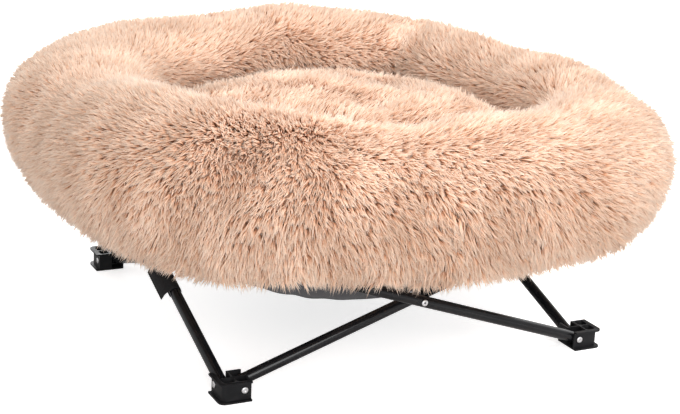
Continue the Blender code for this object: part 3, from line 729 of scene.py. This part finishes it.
def grow(name, chosen, roots, normals, comb, length, lay, seed):
    """A piece of pile: locks of hair from the chosen ones of the lock centres.

    comb is the direction in which the pile is brushed at each centre and lay is how far it lies
    over, from 0 upright to 1 flat.  Hairs start at random places round the centre and their tips
    are drawn towards the lock's own tip.  A lock bends where it has risen by about a third of its
    length and gone over by a sixth.
    """
    rng = np.random.default_rng(seed)
    roots, normals, comb, length, lay = [field[chosen] for field in
                                         (roots, normals, comb, length, lay)]
    count = len(roots)
    flat = comb - (comb * normals).sum(1, keepdims=True) * normals
    flat = unit(unit(flat) + 0.22 * rng.normal(size=flat.shape))
    lay = np.clip(lay + 0.08 * rng.normal(size=count), 0.05, 0.97)[:, None]
    heading = unit(flat * lay + normals * np.sqrt(1 - lay ** 2))
    size = (length * (0.78 + 0.38 * rng.random(count)))[:, None]
    lock_tip = roots + heading * size
    lock_bend = roots + normals * size * 0.36 + flat * size * 0.16
    tint = np.clip(0.5 + 0.22 * swirl(roots, 0.09, 3)[:, 0] + 0.22 * rng.normal(size=count), 0, 1)

    repeat = np.repeat(np.arange(count), HAIRS_PER_LOCK)
    total = len(repeat)
    side = unit(np.cross(normals, (0.2, 0.5, 0.84)))
    other = np.cross(normals, side)
    angle = rng.random(total) * 2 * np.pi
    distance = LOCK_SPREAD * np.sqrt(rng.random(total))
    offset = (side[repeat] * (distance * np.cos(angle))[:, None]
              + other[repeat] * (distance * np.sin(angle))[:, None])
    hair_root = roots[repeat] + offset - normals[repeat] * ROOT_DEPTH
    stray = rng.normal(size=(total, 3)) * STRAY
    hair_tip = lock_tip[repeat] + offset * TIP_SHARE + stray
    reach = (0.80 + 0.32 * rng.random(total))[:, None]
    hair_tip = hair_root + (hair_tip - hair_root) * reach
    hair_bend = lock_bend[repeat] + offset * 0.85 + stray * 0.4
    widths = HAIR_WIDTH / 2 * (0.7 + 0.6 * rng.random(total))
    hair_tint = np.clip(tint[repeat] + 0.06 * rng.normal(size=total), 0, 1)
    piece = hair_mesh(name, hair_root, hair_bend, hair_tip, widths, hair_tint)
    return finish_piece(piece, pile, "bed")


# %% [markdown]
# The pile is an apricot faux fur.  Its colour is painted darker towards each hair's root, as
# painted shade where little light gets in, and palest at its tip.  The UV map carries the share
# along each hair and its tint, so one material dresses every hair.  Under the pile lies a knitted
# backing, and the side that rests on the sling is plain lining cloth.

# %% The pile's finish
pile = new_material("apricot_pile", (0.86, 0.60, 0.44), 0.8, Sheen_Weight=0.12,
                    Sheen_Tint=(1.0, 0.78, 0.62, 1.0), Specular_IOR_Level=0.10)
uv = add_node(pile, "ShaderNodeUVMap", uv_map="pile")
split = add_node(pile, "ShaderNodeSeparateXYZ")
link(pile, uv.outputs["UV"], split.inputs["Vector"])
# painted shade: the colour darkens towards the root of each hair, standing in for the shade deep in
# the pile
along = ramp(pile, split.outputs["Y"], [(0.0, (0.42, 0.16, 0.07)), (0.42, (0.72, 0.39, 0.235)),
                                        (0.8, (0.98, 0.74, 0.58)), (1.0, (1.0, 0.89, 0.80))])
across = ramp(pile, split.outputs["X"], [(0.0, (0.74, 0.68, 0.64)), (1.0, (1.0, 1.0, 1.0))])
tinted = add_node(pile, "ShaderNodeMix", data_type="RGBA", blend_type="MULTIPLY", Factor=1.0)
link(pile, along, tinted.inputs[6])
link(pile, across, tinted.inputs[7])
to_shader(pile, tinted.outputs[2], "Base Color")

# the knitted backing under the pile is seen only where locks part
backing = new_material("pile_backing", (0.62, 0.38, 0.26), 0.95)
knit = add_noise(backing, 420.0, 3.0)
add_bump(backing, knit, 0.6, 0.001)
colour_by(backing, knit, [(0.3, (0.55, 0.32, 0.21)), (0.7, (0.72, 0.46, 0.33))])

# the lining is a plain weave whose shade follows a slow noise
lining = new_material("apricot_lining", (0.50, 0.36, 0.28), 0.85, Sheen_Weight=0.15)
threads = crossed_threads(lining, object_coordinates(lining), Scale=260.0, Distortion=0.6)
add_bump(lining, threads, 0.5, 0.0005)
slow = add_noise(lining, 7.0, 5.0)
colour_by(lining, slow, [(0.3, (0.44, 0.31, 0.24)), (0.7, (0.58, 0.43, 0.34))])
print("soft finishes:", pile.name, backing.name, lining.name)

# %% [markdown]
# The roll's skin is a grid over both angles.  It is held along its underside and at its first
# three creases, and swells between them.

# %% The roll's skin
ROLL_AROUND = 240
ROLL_SECTION = 72
SKIN_SLACK = 0.003  # the skin starts this much smaller, because it swells
ROLL_SWELL = 0.008  # and may move by this much at most
FACES_DOWN = -0.86  # sine of the section angle under which the roll is held
SEAM_HALF_WIDTH = 2.0  # degrees
LINING_TOP = 0.012  # the lining reaches this high over the seat


def grid_faces(rows, columns, closed):
    """Quads over a grid of points; a closed one joins its last row and column to the first."""
    short = 0 if closed else 1
    i, j = np.meshgrid(np.arange(rows - short), np.arange(columns - short), indexing="ij")
    i2 = (i + 1) % rows
    j2 = (j + 1) % columns
    return np.stack([i * columns + j, i2 * columns + j, i2 * columns + j2, i * columns + j2],
                    -1).reshape(-1, 4).tolist()


around, section = np.meshgrid(circle(ROLL_AROUND), circle(ROLL_SECTION), indexing="ij")
skin = roll_surface(around, section, PILE + SKIN_SLACK).reshape(-1, 3)
roll = write_mesh("roll_skin", skin, grid_faces(ROLL_AROUND, ROLL_SECTION, True))
underside = np.sin(section) < FACES_DOWN
seams = np.zeros_like(underside)
for middle, *_ in CREASES[:3]:
    seams |= np.abs(degrees_from(around, middle)) < SEAM_HALF_WIDTH
sewn = underside | seams & (np.cos(section) < 0.4)
swelled = inflate(roll, sewn.ravel(), ROLL_SWELL)
finish_piece(roll, backing, "bed", ["bolster"])
roll.data.materials.append(lining)
lower = read_field(roll.data.polygons, "center")[:, 2] < SEAT + LINING_TOP
roll.data.polygons.foreach_set("material_index", lower.astype(np.int32))
print("roll of %d points, swelled by %.1f mm" % (len(skin), swelled * 1000))

# %% [markdown]
# The pile hangs down the outside of the roll, is brushed away from the middle on the crest, and
# parts at the front, so it runs to the left on the left and to the right on the right.  No pile
# grows where the roll lies on the sling or behind the cushion.

# %% The roll's pile
ROLL_LOCKS = 82000
PILE_LENGTH = 0.026
PILE_PIECES = 10
PARTING = math.radians(-130)  # direction from which the pile runs left and right
PARTING_SHARPNESS = 2.2
UPRIGHT = (178, 42)  # direction and half width of the side where the pile stands up
UP = np.array([0.0, 0.0, 1.0])
LEVEL = np.array([1.0, 1.0, 0.0])
# bare skin: up to this far out from the roll's middle line, up to this high over the seat
BARE_UNDERSIDE = (0.066, 0.006)
BARE_BEHIND_CUSHION = (-0.04, 0.060)


def around_of(points):
    return np.arctan2(points[:, 1], points[:, 0])


def roll_shows(points):
    """1 where the roll can be seen, 0 on the sling and behind the cushion."""
    offset = np.hypot(points[:, 0], points[:, 1]) / plan_factor(around_of(points)) - ROLL_RADIUS
    hidden = np.zeros(len(points), bool)
    for out, over in (BARE_UNDERSIDE, BARE_BEHIND_CUSHION):
        hidden |= (offset < out) & (points[:, 2] < SEAT + over)
    return 1.0 - hidden


rng = np.random.default_rng(7)
roots, normals, area = spread_roots(roll, ROLL_LOCKS, rng, roll_shows)
turn = around_of(roots)
outward = unit(roots * LEVEL)
sideways = np.stack([-np.sin(turn), np.cos(turn), 0 * turn], -1)
top = np.clip(normals[:, 2], 0, 1)
inner = np.clip(-(normals * outward).sum(1), 0, 1)
parting = np.tanh(PARTING_SHARPNESS * np.sin(turn - PARTING))[:, None]
# brushed down, outwards and to the side, each by its own share, and stirred by two swirls
comb = (-0.9 * UP * (1 - 0.4 * top)[:, None]
        + outward * (0.30 + 0.45 * top)[:, None]
        + sideways * parting * (0.55 + 0.45 * top)[:, None]
        + 0.36 * swirl(roots, 0.20, 11) + 0.20 * swirl(roots, 0.07, 12))
upright = bell(turn, *UPRIGHT) * (1 - inner)
# it stands up on the inner and the upright side, and is shorter there, at the hem and on top
lay = 0.80 + 0.07 * swirl(roots, 0.10, 5)[:, 0] + 0.05 * top - 0.24 * inner - 0.26 * upright
hem = np.clip((SEAT - roots[:, 2]) / 0.025, 0, 1)
length = PILE_LENGTH * (1 - 0.22 * upright) * (1 - 0.25 * hem) * (1 - 0.14 * top)
sector = ((turn + np.pi) / (2 * np.pi) * PILE_PIECES).astype(int) % PILE_PIECES
for k in range(PILE_PIECES):
    grow("roll_pile_%d" % (k + 1), sector == k, roots, normals, comb, length, lay, 100 + k)
print("pile on %.2f square metres, %d hairs" % (area, len(roots) * HAIRS_PER_LOCK))

# %% [markdown]
# The middle is a loose cushion with the same squarish plan.  It is crowned, and a few stitches
# draw its top into dimples.  Its skin is a set of rings from the middle of the top, over the
# rolled edge, to the middle of the underside.  The stitches are held while it swells.

# %% The centre cushion
CUSHION_PILE = 0.011
CUSHION_EDGE = 0.104
CUSHION_CROWN = 0.024
CUSHION_GAP = 0.006
# dips: direction in degrees, radius, depth, width; the last is a slack place by the rim
DIPS = ((-129, 0.126, 0.020, 0.031), (-75, 0.064, 0.019, 0.029), (-76, 0.159, 0.019, 0.029),
        (28, 0.130, 0.014, 0.032), (121, 0.225, 0.026, 0.038))
CUSHION_TURNS = 120
CUSHION_SWELL = 0.007
TUFT_RADIUS = 0.010  # the skin is held this close to a stitch
BARE_SIDE = 0.045  # no pile grows lower than this over the seat
CUSHION_LOCKS = 14000
CUSHION_PILE_LENGTH = 0.020
# the cushion's side and underside: share of the radius, share of the edge's height
CUSHION_SIDE = ((0.965, 0.93), (0.99, 0.8), (1.0, 0.6), (0.995, 0.4), (0.975, 0.2), (0.93, 0.06),
                (0.86, 0.0), (0.6, 0.0), (0.3, 0.0), (0.0, 0.0))


def dip_place(direction, radius):
    return radius * math.cos(math.radians(direction)), radius * math.sin(math.radians(direction))


def cushion_height(x, y, reach):
    """Edge height plus a crown that falls with the square of the radius, less a round dip with a
    bell-shaped section at each stitch and at the slack place beside the rim."""
    crown = CUSHION_CROWN * (1 - (x ** 2 + y ** 2) / reach ** 2)
    height = SEAT + CUSHION_EDGE - CUSHION_PILE + crown
    for direction, radius, depth, width in DIPS:
        cx, cy = dip_place(direction, radius)
        height = height - depth * np.exp(-((x - cx) ** 2 + (y - cy) ** 2) / width ** 2)
    return height


def ring_at(radius, angle, height):
    """A ring of points; height is one level, or a function of x and y."""
    x = radius * np.cos(angle)
    y = radius * np.sin(angle)
    level = height(x, y) if callable(height) else np.full(len(angle), height)
    return np.stack([x, y, level], -1)


def lens_rings(angle, radius, shares, surface, side, low, high):
    """Rings over a surface from its middle to its rim, then round the side to a flat face."""
    rings = [ring_at(share * radius, angle, surface) for share in shares]
    rings += [ring_at(share * radius, angle, low + level * (high - low)) for share, level in side]
    return np.stack(rings)


angle = circle(CUSHION_TURNS)
radius = (ROLL_RADIUS - ROLL_HALF_WIDTH) * plan_factor(angle) - CUSHION_GAP
reach = radius.min()
rings = lens_rings(angle, radius - CUSHION_PILE / 2, [0.0, *np.linspace(0.05, 0.93, 22)],
                   lambda x, y: cushion_height(x, y, reach), CUSHION_SIDE,
                   SEAT + 0.001, SEAT + CUSHION_EDGE - CUSHION_PILE)
cushion = closed_rings("cushion_skin", rings[::-1])
points = read_field(cushion.data.vertices)
stitches = [dip_place(*dip[:2]) for dip in DIPS[:-1]]
near_tuft = np.min([np.hypot(points[:, 0] - cx, points[:, 1] - cy) for cx, cy in stitches], axis=0)
sewn = (points[:, 2] < SEAT + 0.02) | (near_tuft < TUFT_RADIUS)
swelled = inflate(cushion, sewn, CUSHION_SWELL)
finish_piece(cushion, backing, "bed", ["centre_cushion"])


def cushion_shows(points):
    return (points[:, 2] > SEAT + BARE_SIDE).astype(float)


roots, normals, _ = spread_roots(cushion, CUSHION_LOCKS, rng, cushion_shows)
# brushed outwards and to the front right, and stirred by two swirls
comb = (unit(roots * LEVEL) * 0.35 + np.array([0.30, -0.35, 0.0])
        + 0.75 * swirl(roots, 0.16, 21) + 0.25 * swirl(roots, 0.06, 22))
lay = 0.72 + 0.10 * swirl(roots, 0.09, 23)[:, 0]
length = np.full(len(roots), CUSHION_PILE_LENGTH)
for name, chosen in (("left", roots[:, 0] < 0), ("right", roots[:, 0] >= 0)):
    grow("cushion_pile_" + name, chosen, roots, normals, comb, length, lay, 300)
print("cushion swelled by %.1f mm, %d hairs" % (swelled * 1000, len(roots) * HAIRS_PER_LOCK))

# %% [markdown]
# The sling is a square of coated cloth hung from the four hubs.  Its sides are drawn in and its
# middle hangs in a bowl, flatter than a plain one because a padded base lies in it.  Cloth pulled
# at four corners shows folds that run from each corner and die out inwards.

# %% The sling's shape
HUB_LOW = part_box("hub_front_right")[0]
SLING_LOW, SLING_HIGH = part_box("sling")
SLING_HALF = SLING_HIGH.x
SLING_DRAW = 0.075
SLING_ROOM = 0.0025  # thickness of the modelled sling
BOWL_RADIUS = HUB_LOW.x * math.sqrt(2) - 0.046  # its rim lies inside the hubs' inner corners
RIM = SLING_HIGH.z - SLING_ROOM
BOWL_POWER = 3.2
FOLD_DEPTH = 0.0022


def bowl_height(x, y):
    share = np.minimum(np.hypot(x, y) / BOWL_RADIUS, 1.0)
    return SLING_LOW.z + (RIM - SLING_LOW.z) * share ** BOWL_POWER


def sling_plan(s, t):
    """Plan for s and t from -1 to 1, each side drawn in by a parabola."""
    return (s * (SLING_HALF - SLING_DRAW * (1 - t ** 2)),
            t * (SLING_HALF - SLING_DRAW * (1 - s ** 2)))


def sling_surface(s, t):
    """The bowl less folds: a cosine of the angle from each diagonal, strongest half way out."""
    x, y = sling_plan(s, t)
    share = np.hypot(x, y) / BOWL_RADIUS
    turn = np.arctan2(y, x)
    off_corner = np.abs(np.mod(turn, np.pi / 2) - np.pi / 4)
    strength = np.clip(share / 0.5, 0, 1) ** 2 * np.clip((1.0 - share) / 0.25, 0, 1)
    fold = np.cos(off_corner * 22) * np.exp(-(off_corner / 0.45) ** 2)
    z = bowl_height(x, y) + SLING_ROOM / 2 - FOLD_DEPTH * strength * (0.5 - 0.5 * fold)
    return np.stack([x, y, z], -1)


# coated oxford cloth is a coarse plain weave with slow changes of shade and shine
oxford = new_material("charcoal_oxford", (0.036, 0.034, 0.040), 0.7, Sheen_Weight=0.12)
uv = add_node(oxford, "ShaderNodeUVMap", uv_map="weave")
threads = crossed_threads(oxford, uv.outputs["UV"], Scale=1.0)
add_bump(oxford, threads, 0.6, 0.0004)
slow = add_noise(oxford, 9.0, 5.0)
colour_by(oxford, slow, [(0.3, (0.028, 0.026, 0.031)), (0.7, (0.048, 0.045, 0.053))])
roughen_by(oxford, slow, 0.55, 0.82)
print("bowl %.0f mm across, %.0f mm deep" % (BOWL_RADIUS * 2000, (RIM - SLING_LOW.z) * 1000))

# %% [markdown]
# The cloth is an open grid with a thickness.  Its UV map is its plan times the threads in a metre,
# so the weave keeps its pitch.  The longest way over the cloth in one direction, and its area, are
# worked out but not used.

# %% The sling
SLING_STEPS = 72
THREADS_PER_METRE = 160.0
CLOTH_THICKNESS = 0.0009

steps = np.linspace(-1, 1, SLING_STEPS + 1)
s, t = np.meshgrid(steps, steps, indexing="ij")
cloth_points = sling_surface(s, t)
faces = grid_faces(SLING_STEPS + 1, SLING_STEPS + 1, False)
sling = write_mesh("sling_cloth", cloth_points.reshape(-1, 3), faces)
uv = sling.data.uv_layers.new(name="weave")
corner = read_field(sling.data.loops, "vertex_index", 1, np.int32)[:, 0]
flat = cloth_points.reshape(-1, 3)[:, :2][corner] * THREADS_PER_METRE
uv.data.foreach_set("uv", flat.astype(np.float32).ravel())
length = np.linalg.norm(np.diff(cloth_points, axis=1), axis=-1).sum(1).max()
area = sum(face.area for face in sling.data.polygons)
solid = sling.modifiers.new("cloth_thickness", "SOLIDIFY")
solid.thickness = CLOTH_THICKNESS
solid.offset = 0.0
finish_piece(sling, oxford, "bed", ["sling"])

# %% [markdown]
# A woven tape is folded over each free edge of the sling and sewn down, and a square of the same
# tape doubles each corner over its hub.  The tape is an oval section carried along the edge, and
# its stitches are small beads set along a line at an even pitch.

# %% The sling's tapes and corner patches
TAPE_WIDTH = 0.007
TAPE_THICKNESS = 0.0045
EDGE_GAP = 0.0004
STITCH_PITCH = 0.0045

tape = new_material("woven_tape", (0.016, 0.016, 0.017), 0.75)
weave = add_wave(tape, object_coordinates(tape), "DIAGONAL", Scale=240.0, Distortion=0.4)
add_bump(tape, weave, 0.5, 0.0004)
colour_by(tape, weave, [(0.2, (0.011, 0.011, 0.012)), (0.8, (0.024, 0.024, 0.026))])

thread = new_material("sewing_thread", (0.05, 0.05, 0.052), 0.6)
twist = add_wave(thread, object_coordinates(thread), "DIAGONAL", Scale=900.0)
add_bump(thread, twist, 0.6, 0.0001)


def turned_about_z(points, quarter):
    """Points turned by quarter turns about the upright axis."""
    c, s = [(1, 0), (0, 1), (-1, 0), (0, -1)][quarter]
    return points @ np.array([[c, s, 0], [-s, c, 0], [0, 0, 1]])


def evenly(path, pitch):
    """Points at an even pitch along a path, with the direction at each."""
    step = np.linalg.norm(np.diff(path, axis=0), axis=1)
    along = np.concatenate([[0], np.cumsum(step)])
    where = np.arange(pitch / 2, along[-1], pitch)
    points, ahead = [np.stack([np.interp(at, along, path[:, k]) for k in range(3)], -1)
                     for at in (where, where + pitch * 0.1)]
    return points, unit(ahead - points + 1e-9)


def stitch_line(name, path):
    """Stitches along a path: each is a bead of two rings of four points and two tips."""
    points, ahead = evenly(path, STITCH_PITCH)
    up = np.broadcast_to(UP, points.shape)
    side = unit(np.cross(ahead, up))
    half_length, half_width = STITCH_PITCH * 0.38, 0.0003
    ring = [side * half_width, up * half_width, -side * half_width, -up * half_width]
    verts = [points - ahead * half_length]
    verts += [points - ahead * half_length * 0.6 + r for r in ring]
    verts += [points + ahead * half_length * 0.6 + r for r in ring]
    verts += [points + ahead * half_length]
    verts = np.stack(verts, 1)
    every = [[v + 10 * n for v in face] for n in range(len(points)) for face in closed_faces(4, 4)]
    piece = write_mesh(name, verts.reshape(-1, 3), every)
    return finish_piece(piece, thread, "bed")


tape_low, tape_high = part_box("sling_front_binding")
reach = np.linspace(-1, 1, 1201)
edge_x, edge_y = sling_plan(reach, -np.ones_like(reach))
inside = (edge_x > tape_low.x) & (edge_x < tape_high.x)
edge = np.stack([edge_x, edge_y, bowl_height(edge_x, edge_y) + SLING_ROOM / 2], -1)[inside][::6]
angle = circle(14)
out = (EDGE_GAP + TAPE_WIDTH / 2) + TAPE_WIDTH / 2 * np.cos(angle)
rise = TAPE_THICKNESS / 2 * np.sin(angle) * 0.8
rings = edge[:, None, :] + np.stack([0 * out, -out, rise], -1)[None]
rings = np.concatenate([rings[:1], rings, rings[-1:]])
line = edge + np.array([0.0, -EDGE_GAP - TAPE_WIDTH * 0.35, -TAPE_THICKNESS * 0.40])
for index, side in enumerate(SIDES):
    piece = closed_rings("sling_%s_tape" % side, turned_about_z(rings, index), 60)
    finish_piece(piece, tape, "bed", ["sling_%s_binding" % side])
    stitch_line("sling_%s_stitches" % side, turned_about_z(line, index))
for corner in CORNERS:
    node = "sling_%s_patch" % corner
    piece = merged_copy(node, node + "_square")
    soften(piece, 50, 0.0004)
    finish_piece(piece, tape, "bed", [node])
print("four tapes, %.0f mm each" % (1000 * np.linalg.norm(np.diff(edge, axis=0), axis=1).sum()))

# %% [markdown]
# Under the cushion a flat padded base fills the bowl of the sling.  Only its rim shows, in the gaps
# beside the drawn-in edges, so it is a smooth lens of lining cloth.

# %% The padded base
BASE_TURNS = 96
BASE_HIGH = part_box("bed_base")[1]
BASE_RADIUS = BASE_HIGH.x
BASE_LIFT = 0.0040  # its underside lies this far over the sling
BASE_TOP = BASE_HIGH.z - 0.0004
# the base's rim and top: share of the radius, share of the height from the rim's foot
BASE_SIDE = ((1.0, 0.45), (0.995, 0.8), (0.985, 0.95), (0.96, 1.0), (0.5, 1.0), (0.0, 1.0))


def base_underside(x, y):
    return bowl_height(x, y) + SLING_ROOM + BASE_LIFT


rings = lens_rings(circle(BASE_TURNS), BASE_RADIUS, np.linspace(0, 1, 16) ** 0.8, base_underside,
                   BASE_SIDE, base_underside(BASE_RADIUS, 0.0), BASE_TOP)
base = closed_rings("base_pad", rings)
finish_piece(base, lining, "bed", ["bed_base"])
print("padded base %.0f mm across" % (BASE_RADIUS * 2000))

# %% [markdown]
# A hook-and-loop strap is wrapped round one tube.  It holds the folded frame shut.  The real one
# reaches lower than the modelled one, so the copy is stretched down its tube.

# %% The tie strap
webbing = new_material("strap_webbing", (0.012, 0.012, 0.013), 0.85, Specular_IOR_Level=0.2)
hooks = add_noise(webbing, 900.0, 2.0)
add_bump(webbing, hooks, 0.7, 0.0006)
colour_by(webbing, hooks, [(0.3, (0.007, 0.007, 0.008)), (0.7, (0.020, 0.020, 0.021))])

STRAP_TAIL = 0.010  # the lower end reaches this much further down the tube
strap = merged_copy("tie_strap", "tie_strap_webbing")
downhill = long_axis(read_field(nodes["tube_left_outer"].data.vertices))[1]
downhill = -downhill * np.sign(downhill[2])
points = read_field(strap.data.vertices)
along = points @ downhill
share = (along - along.min()) / (along.max() - along.min())
write_points(strap.data, points + STRAP_TAIL * share[:, None] * downhill)
soften(strap, 40, 0.0003, 60)
finish_piece(strap, webbing, body_of["tie_strap"], ["tie_strap"])
print("tie strap, %.0f mm longer" % (STRAP_TAIL * 1000))
